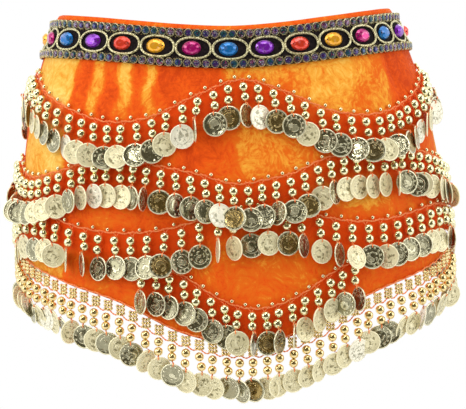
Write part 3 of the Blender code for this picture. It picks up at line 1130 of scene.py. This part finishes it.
class HipScarfSizes(bpy.types.PropertyGroup):
    bead_diameter: millimetres("Bead diameter", "Large round beads", 7.3)
    small_bead_diameter: millimetres("Small bead diameter", "Beads of the headings and the edging", 2.8)
    coin_diameter: millimetres("Coin diameter", "Stamped coins", 18.0)
    coin_thickness: millimetres("Coin thickness", "Over the rim", 1.0)
    edging_drop: millimetres("Edging depth", "Crocheted bead edging below the hem", 9.2)
    thread_thickness: millimetres("Thread thickness", "Coral crochet thread, doubled", 1.15)
    stone_length: millimetres("Stone length", "Oval stones", 14.0)
    stone_width: millimetres("Stone width", "Oval stones", 10.4)
    small_stone_pitch: millimetres("Small stone pitch", "From stone to stone in a row", 7.8)
    # The velvet's own orange and the pile's painted sheen, from darkest to brightest
    velvet_deep: colour("Velvet, darkest", "Pile seen end on", (0.58, 0.048, 0.0))
    velvet_red: colour("Velvet, red", "Pile that leans away", (0.79, 0.090, 0.002))
    velvet_orange: colour("Velvet, orange", "Most of the pile", (0.78, 0.15, 0.005))
    velvet_bright: colour("Velvet, bright", "Pile laid flat", (0.86, 0.35, 0.030))
    velvet_glow: colour("Velvet, brightest", "Pile that faces the light", (0.92, 0.52, 0.09))
    # Painted shade: the deeper red painted on the cloth behind the beads
    velvet_shade: colour("Velvet behind beads", "Cloth that the beads shade", (0.84, 0.068, 0.001))
    bead_gold: colour("Bead gold", "Pale gold plating", (1.0, 0.94, 0.57))
    hem_bead_gold: colour("Hem bead gold", "Deeper gold plating", (0.98, 0.78, 0.38))
    coin_gold: colour("Coin gold", "Champagne gold of the coins", (0.92, 0.87, 0.60))
    camera_distance: metres("Camera distance", "From the hips' middle", 2.2)
    camera_height: metres("Camera height", "Above the braid", -0.1254)
    camera_azimuth: FloatProperty(
        name="Camera azimuth", description="Degrees round the hips", default=-3.0
    )
    camera_roll: FloatProperty(name="Camera roll", description="Degrees", default=1.4)
    picture_width: metres("Picture width", "Width of the view at the hips' middle", 0.3542)
    view_shift: metres("Sideways shift", "Of the view's middle from the hips' middle", 0.003)


class HIPSCARF_OT_stage(bpy.types.Operator):
    """Make the floor, the lights, the surroundings and the camera"""

    bl_idname = "hipscarf.stage"
    bl_label = "Stage"

    floor_drop: metres("Floor drop", "From the braid down to the floor", 0.75)
    floor_back: metres("Floor set back", "From the hips' middle to the floor's middle", 0.9)
    floor_size: metres("Floor size", "Each side of the floor", 3.8)
    sensor: millimetres("Sensor width", "Across the camera's sensor", 36.0)

    # Columns: name, place, size, power
    lights = (
        ("left_softbox", (-1.9, -0.75, 0.55), 1.4, 12.5),
        ("right_softbox", (1.95, -0.7, 0.45), 1.4, 10.0),
        ("top_softbox", (0.0, -0.7, 1.6), 1.3, 11.0),
        ("key_lamp", (-0.70, -1.55, 0.75), 0.22, 3.0),
        ("back_softbox", (0.3, 1.7, 0.7), 1.2, 6.0),
    )
    aimed_at = (0.0, 0.0, -0.12)

    def execute(self, context):
        self.add_floor()
        self.add_camera(context.scene)
        self.add_lights()
        self.add_surroundings(context.scene)
        context.scene.view_settings.view_transform = "Standard"
        context.scene.view_settings.look = "None"
        return {"FINISHED"}

    def add_floor(self):
        builder = bmesh.new()
        bmesh.ops.create_grid(builder, x_segments=2, y_segments=2, size=self.floor_size / 2)
        bmesh.ops.translate(builder, verts=builder.verts, vec=(0, self.floor_back, -self.floor_drop))
        mesh = bpy.data.meshes.new("floor")
        builder.to_mesh(mesh)
        builder.free()
        mesh.materials.append(floor_finish())
        add_object("floor", mesh)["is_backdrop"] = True

    def add_camera(self, scene):
        sizes = scarf()
        data = bpy.data.cameras.new("camera")
        data.sensor_width = self.sensor
        data.lens = self.sensor * sizes.camera_distance / sizes.picture_width
        scene.camera = add_object("camera", data)
        turn = Matrix.Rotation(math.radians(sizes.camera_azimuth), 4, "Z")
        spot = turn @ Vector((sizes.view_shift, -sizes.camera_distance, sizes.camera_height))
        level = Matrix.Rotation(math.radians(90), 4, "X")
        roll = Matrix.Rotation(math.radians(-sizes.camera_roll), 4, "Z")
        scene.camera.matrix_world = Matrix.Translation(spot) @ turn @ level @ roll

    def add_lights(self):
        for name, spot, size, power in self.lights:
            data = bpy.data.lights.new(name, "AREA")
            data.size = size
            data.energy = power
            track = (Vector(spot) - Vector(self.aimed_at)).to_track_quat("Z", "Y")
            add_object(name, data).matrix_world = Matrix.Translation(spot) @ track.to_matrix().to_4x4()

    def add_surroundings(self, scene):
        """A white room to the camera; polished metal sees a dim wall in front of the scarf."""
        world = bpy.data.worlds.new("studio")
        world.use_nodes = True
        scene.world = world
        nodes = Nodes(world.node_tree)
        way = nodes.output("ShaderNodeTexCoord", output="Generated")
        sockets = {0: way, 1: (0.0, -0.985, 0.174)}
        facing = nodes.output("ShaderNodeVectorMath", {"operation": "DOT_PRODUCT"}, sockets, "Value")
        wall = nodes.ramp(
            facing,
            ((0.28, (1.0, 1.0, 1.0)), (0.41, (0.45, 0.43, 0.35)), (0.53, (0.10, 0.085, 0.045))),
        )
        wall = nodes.output("ShaderNodeBackground", None, {"Color": wall, "Strength": 1.05})
        white, soft = (
            nodes.output("ShaderNodeBackground", None, {"Color": (1.0, 1.0, 1.0), "Strength": strength})
            for strength in (1.0, 0.76)
        )
        rays = nodes.node("ShaderNodeLightPath").outputs
        mixed = {"Fac": rays["Is Glossy Ray"], 1: soft, 2: wall}
        mixed = {"Fac": rays["Is Camera Ray"], 1: nodes.output("ShaderNodeMixShader", None, mixed), 2: white}
        seen = nodes.output("ShaderNodeMixShader", None, mixed)
        nodes.node("ShaderNodeOutputWorld", None, {"Surface": seen})


class HIPSCARF_OT_panel(bpy.types.Operator):
    """Make the velvet panel that goes right round the hips"""

    bl_idname = "hipscarf.panel"
    bl_label = "Velvet panel"

    def execute(self, context):
        arcs = np.linspace(-HALF_ROUND, HALF_ROUND, PANEL_COLUMNS, endpoint=False)[:, None]
        down = np.linspace(0.0, 1.0, PANEL_ROWS + 1)[None, :]
        top, hem = edge_height(arcs, 1), edge_height(arcs, 2)
        height = top + (hem - top) * down
        lift = panel_gather(arcs, down) + creases(arcs, height)
        edge = np.minimum(down, 1 - down) * (top - hem)
        rounded = EDGE_ROUNDING * np.exp(-((edge / 0.8) ** 2))
        # Painted shade behind each row's beads, on the outer face only
        shade = under_beads(arcs, height)
        # The pile's lie, which carries its painted sheen
        laid = pile(arcs, height)
        piece = shell(
            "velvet_panel",
            place(arcs, height, lift - rounded),
            place(arcs, height, lift - CLOTH),
            ("cloth", flat_map(arcs, height) / METRE),
            velvet_finish(),
            "velvet",
            closed=True,
            attributes={
                "under_beads": both_faces(shade, np.zeros_like(shade)),
                "pile": both_faces(laid, laid),
            },
        )
        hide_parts("velvet_wrap")
        return {"FINISHED"}


class HIPSCARF_OT_tie(bpy.types.Operator):
    """Make the knot at the back and its two hanging ends"""

    bl_idname = "hipscarf.tie"
    bl_label = "Tie"

    # Columns: height, arc, lift, half width, cup
    tail_rows = (
        (-204, 31, 7, 1.2, 0.6),
        (-176, 29, 8.5, 10, 3),
        (-146, 26, 9.5, 17, 4.5),
        (-114, 22, 10.5, 18, 5.5),
        (-84, 17, 11, 14, 5.5),
        (-60, 12, 11.5, 9.5, 4.5),
        (-40, 6, 12, 7, 3),
    )
    tail_grid = (70, 25)
    knot_grid = (22, 72)
    band_grid = (40, 16)

    def execute(self, context):
        knot = self.knot()
        self.band()
        tails = [self.tail(side, name) for side, name in ((-1, "tie_tail_left"), (1, "tie_tail_right"))]
        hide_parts("tie_knot")
        return {"FINISHED"}

    def knot(self):
        """The lump of folded cloth, pleated towards the band that crosses it."""
        rows, spokes = self.knot_grid
        around = np.linspace(0, 2 * math.pi, spokes, endpoint=False)[None, :]
        rise = np.linspace(0.0, math.pi / 2, rows)[:, None]
        pleat = 1 + 0.05 * np.cos(9 * around + 0.8) * np.cos(rise) ** 0.5
        arc = HALF_ROUND + KNOT_HALF_WIDTH * np.cos(rise) * np.cos(around) * pleat
        height = KNOT_HEIGHT + KNOT_HALF_HEIGHT * np.cos(rise) * np.sin(around) * pleat
        groove = 1.6 * np.cos(7 * around + 2 * rise) * np.sin(2 * rise)
        points = place(arc, height, KNOT_LIFT + KNOT_DEPTH * np.sin(rise) ** 0.85 + groove)
        faces = grid_faces(rows, spokes) + [tuple(range(spokes))]
        uv = ("cloth", flat_map(around * 0.02, rise * 0.03))
        return make_piece("tie_knot_cloth", points, faces, velvet_finish(), "velvet", uv, weld=True)

    def band(self):
        """The folded end that wraps over the knot from top to bottom."""
        steps, ring = self.band_grid
        swing = np.linspace(-math.pi * 0.5, math.pi * 0.5, steps)[:, None]
        turns = (np.arange(ring) * 2 * math.pi / ring)[None, :]
        arc = HALF_ROUND + 2.5 * np.sin(swing) + (9.5 + 1.5 * np.cos(2 * swing)) * np.cos(turns)
        thick = (2.6 + 0.7 * np.cos(3 * turns)) * np.sin(turns)
        height = KNOT_HEIGHT + (22.5 + thick) * np.sin(swing)
        points = place(arc, height, 3.6 + (24.0 + thick) * np.cos(swing))
        faces = grid_faces(steps, ring) + caps(steps * ring, ring)
        uv = ("cloth", flat_map(np.cos(turns) * 0.01, swing * 0.024))
        make_piece("tie_band", points, faces, velvet_finish(), "velvet", uv)

    def tail(self, side, name):
        """A thin pointed end that hangs in soft folds."""
        rows = np.array(self.tail_rows, float)
        heights = np.linspace(rows[0, 0], rows[-1, 0], self.tail_grid[0])
        columns = (np.interp(heights, rows[:, 0], rows[:, c])[:, None] for c in range(1, 5))
        arc, lift, half_width, cup = columns
        heights = heights[:, None]
        across = np.linspace(-1, 1, self.tail_grid[1])[None, :]
        ripple = 1.4 * np.cos(3.2 * math.pi * across + 0.6 + heights * 0.02)
        ripple = ripple * (1.1 - 0.6 * ease((-heights - 50) / 60)) * half_width / 18
        middle = lift + cup * (1 - across**2) + ripple
        arc = HALF_ROUND + side * arc + across * half_width
        front = place(arc, heights, middle + TAIL_HALF_THICKNESS)
        back = place(arc, heights, middle - TAIL_HALF_THICKNESS)
        uv = ("cloth", flat_map(arc, heights) / METRE)
        return shell(name, front, back, uv, velvet_finish(), "velvet")


class HIPSCARF_OT_braid(bpy.types.Operator):
    """Make the black braid, its gold cords and its stones"""

    bl_idname = "hipscarf.braid"
    bl_label = "Jewelled braid"

    ground_rows = 20
    # The colours of the oval stones, in the order that repeats
    stone_colours = (
        (0.006, 0.17, 0.50),
        (0.20, 0.012, 0.42),
        (0.78, 0.05, 0.02),
        (0.92, 0.42, 0.015),
        (0.44, 0.003, 0.15),
    )

    def execute(self, context):
        ground = self.ground()
        self.cords()
        self.stones()
        self.small_stones()
        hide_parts("jewel_trim")
        return {"FINISHED"}

    def trim_height(self, arc, drop):
        return edge_height(arc, 1) - TRIM_BELOW_EDGE - drop

    def ground(self):
        arcs = np.arange(-TRIM_REACH, TRIM_REACH + 0.1, 2.0)[:, None]
        drop = np.linspace(0, TRIM_HEIGHT, self.ground_rows)[None, :]
        wave = 0.12 * np.cos(2 * math.pi * arcs / 9.0) * np.exp(-((drop / 2.0) ** 2))
        height = self.trim_height(arcs, drop + wave)
        outer, inner = (place(arcs, height, lift) for lift in (TRIM_OUTER_LIFT, TRIM_INNER_LIFT))
        return shell("braid_ribbon", outer, inner, ("ribbon", flat_map(arcs, drop)), braid_finish(), "braid")

    def cords(self):
        """A chain of flat gold ovals, one for each stone, which touch at their ends."""
        parts = []
        turns = np.linspace(0, 2 * math.pi, 61)[:-1]
        across = signed_power(np.cos(turns), OVAL_EXPONENT) * (STONE_PITCH / 2 - OVAL_SPACE)
        drop = TRIM_HEIGHT / 2 - signed_power(np.sin(turns), OVAL_EXPONENT) * OVAL_HALF_HEIGHT
        for k in self.stone_numbers(margin=15.0):
            at = STONE_PHASE + k * STONE_PITCH + OVAL_SHIFT + across
            height = self.trim_height(at, drop)
            path = place(at, height, TRIM_LIFT)
            _, out = directions(at, height, TRIM_LIFT)
            side = np.cross(np.roll(path, -1, axis=0) - np.roll(path, 1, axis=0), out)
            side /= np.linalg.norm(side, axis=1, keepdims=True)
            parts.append(tube(path, side * 0.9, out * 0.8, 1.0, 6, closed=True))
        make_piece("gold_cords", *merge(parts), cord_finish(), "gold")

    def stone_numbers(self, margin):
        """The stones' numbers along the braid; stone 0 is the blue one nearest the middle."""
        first = math.ceil((-TRIM_REACH + margin - STONE_PHASE) / STONE_PITCH)
        last = math.floor((TRIM_REACH - margin - STONE_PHASE) / STONE_PITCH)
        return range(first, last + 1)

    def stones(self):
        half = scarf().stone_width / 2
        rings = ((half * 0.98, 0.6), (half, 0.0), (half * 0.80, -1.7), (half * 0.50, -2.9))
        shape = lathe("stone_shape", rings, 14, stretch=scarf().stone_length / scarf().stone_width)
        spots = []
        for k in self.stone_numbers(margin=12.0):
            arc = STONE_PHASE + k * STONE_PITCH
            spot = make_spot(arc, self.trim_height(arc, TRIM_HEIGHT / 2), TRIM_LIFT)
            spot["colour"] = self.stone_colours[k % len(self.stone_colours)]
            spots.append(spot)
        scatter("oval_stones", spots, shape, stone_finish())
        self.stone_holes(spots)

    def stone_holes(self, stones):
        """The two small dark holes that each oval stone is sewn on through."""
        shape = lathe("stone_hole_shape", ((0.55, 0.3), (0.55, -0.3)), 8)
        offset = scarf().stone_length * 0.40
        spots = []
        for stone in stones:
            across, inward = (np.array(stone["turn"].col[k]) for k in (0, 1))
            for side in (-offset, offset):
                at = stone["at"] + across * side - inward * 1.55
                spots.append({"at": at, "turn": stone["turn"], "size": 1.0, "shade": 0.0})
        scatter("stone_holes", spots, shape, hole_finish())

    def small_stones(self):
        stone = lathe("small_stone_shape", ((2.2, 0.4), (2.75, -0.5), (1.8, -1.5), (1.0, -1.8)), 8)
        cup = lathe("cup_shape", ((2.8, 0.8), (3.35, -0.6), (3.1, -1.5), (2.65, -0.6)), 10)
        chance = random.Random("small stones")
        pitch = scarf().small_stone_pitch
        count = int(TRIM_REACH / pitch)
        spots = []
        for drop in SMALL_STONE_DROPS:
            for k in range(-count, count + 1):
                height = self.trim_height(k * pitch, drop)
                turn = chance.uniform(-0.06, 0.06)
                spots.append(make_spot(k * pitch, height, SMALL_STONE_LIFT, turn, shade=chance.random()))
        scatter("small_stones", spots, stone, small_stone_finish())
        scatter("small_stone_cups", spots, cup, cord_finish())


class HIPSCARF_OT_swags(bpy.types.Operator):
    """Make the headings, beads, threads and coins of the four swags and the hem fringe"""

    bl_idname = "hipscarf.swags"
    bl_label = "Swags and fringe"

    def execute(self, context):
        large = bead_shape("large_bead_shape", scarf().bead_diameter, 12, 8)
        small = bead_shape("small_bead_shape", scarf().small_bead_diameter, 8, 5)
        coin = coin_shape()
        for name, arcs, height_at, drops in rows_of_strands():
            beads, coins = strand_spots(name, arcs, height_at, drops)
            scatter(name + "_beads", beads, large, bead_finish(name == HEM))
            coin_piece = scatter(name + "_coins", coins, coin, coin_finish())
            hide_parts(name)
            make_piece(name + "_threads", *coin_threads(beads, coins), thread_finish(), "velvet")
            if name == HEM:
                self.edging(name, arcs, height_at, small)
            else:
                self.heading(name, arcs, height_at, small)
        return {"FINISHED"}

    def heading(self, name, arcs, height_at, small):
        """The crocheted line of a swag, and one small bead above it between each two strands."""
        make_piece(name + "_heading", *heading_cord(arcs, height_at), thread_finish(), "velvet")
        chance = random.Random(name + " picots")
        spots = []
        for first, second in zip(arcs, arcs[1:]):
            arc = (first + second) / 2 + chance.uniform(-0.8, 0.8)
            height = float(height_at(arc)) + 2.2 + chance.uniform(-0.4, 0.5)
            spots.append(make_spot(arc, height, HEADING_LIFT + SEAT, size=1.12, shade=chance.random()))
        scatter(name + "_picots", spots, small, bead_finish(False))

    def edging(self, name, arcs, height_at, small):
        """Blocks of small beads under the hem, held by a coral thread above and below."""
        chance = random.Random(name + " edging")
        spots = []
        pitch = scarf().small_bead_diameter - 0.15
        for arc in arcs:
            for column in (-1, 0, 1):
                for row in range(3):
                    spot_arc = arc + column * (pitch - 0.35) + chance.uniform(-0.15, 0.15)
                    drop = 1.6 + row * pitch + (0.5 if column == 0 else 0)
                    height = float(height_at(arc)) - drop
                    spots.append(make_spot(spot_arc, height, 1.6, shade=chance.random()))
        scatter(name + "_edging_beads", spots, small, bead_finish(True))
        parts = []
        spacing = float(arcs[1] - arcs[0])
        reach = float(arcs[-1]) + 4
        at = np.arange(-reach, reach, CORD_STEP)
        for shift, wave in ((1.4, 0.3), (-scarf().edging_drop + 0.6, 0.9)):
            height = height_at(at) + shift + wave * np.cos(2 * math.pi * (at - arcs[0]) / spacing)
            _, out = directions(at, height, EDGING_LIFT)
            parts.append(twisted_cord(place(at, height, EDGING_LIFT), out, 4.6))
        make_piece(name + "_crochet", *merge(parts), thread_finish(), "velvet")


class HIPSCARF_OT_cloth_facts(bpy.types.Operator):
    """Gather the pieces that are sewn to the velvet panel, and the tie's knot and band"""

    bl_idname = "hipscarf.cloth_facts"
    bl_label = "Cloth facts"

    def execute(self, context):
        sewn = [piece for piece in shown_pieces() if piece.name.startswith(("swag_", HEM))]
        sewn.append(bpy.data.objects["tie_knot_cloth"])
        sewn.append(bpy.data.objects["tie_band"])
        return {"FINISHED"}


class HIPSCARF_PT_sidebar(bpy.types.Panel):
    bl_idname = "HIPSCARF_PT_sidebar"
    bl_label = "Hip scarf"
    bl_space_type = "VIEW_3D"
    bl_region_type = "UI"
    bl_category = "Hip scarf"

    def draw(self, context):
        column = self.layout.column()
        for operator in OPERATORS:
            column.operator(operator.bl_idname)
        for name in HipScarfSizes.__annotations__:
            column.prop(context.scene.hip_scarf, name)


OPERATORS = (
    HIPSCARF_OT_stage,
    HIPSCARF_OT_panel,
    HIPSCARF_OT_tie,
    HIPSCARF_OT_braid,
    HIPSCARF_OT_swags,
    HIPSCARF_OT_cloth_facts,
)
CLASSES = (HipScarfSizes, *OPERATORS, HIPSCARF_PT_sidebar)


def register():
    for entry in CLASSES:
        bpy.utils.register_class(entry)
    bpy.types.Scene.hip_scarf = PointerProperty(type=HipScarfSizes)


def unregister():
    del bpy.types.Scene.hip_scarf
    for entry in reversed(CLASSES):
        bpy.utils.unregister_class(entry)


def main():
    register()
    bpy.ops.hipscarf.stage()
    bpy.ops.hipscarf.panel()
    bpy.ops.hipscarf.tie()
    bpy.ops.hipscarf.braid()
    bpy.ops.hipscarf.swags()
    bpy.ops.hipscarf.cloth_facts()


if __name__ == "__main__":
    main()
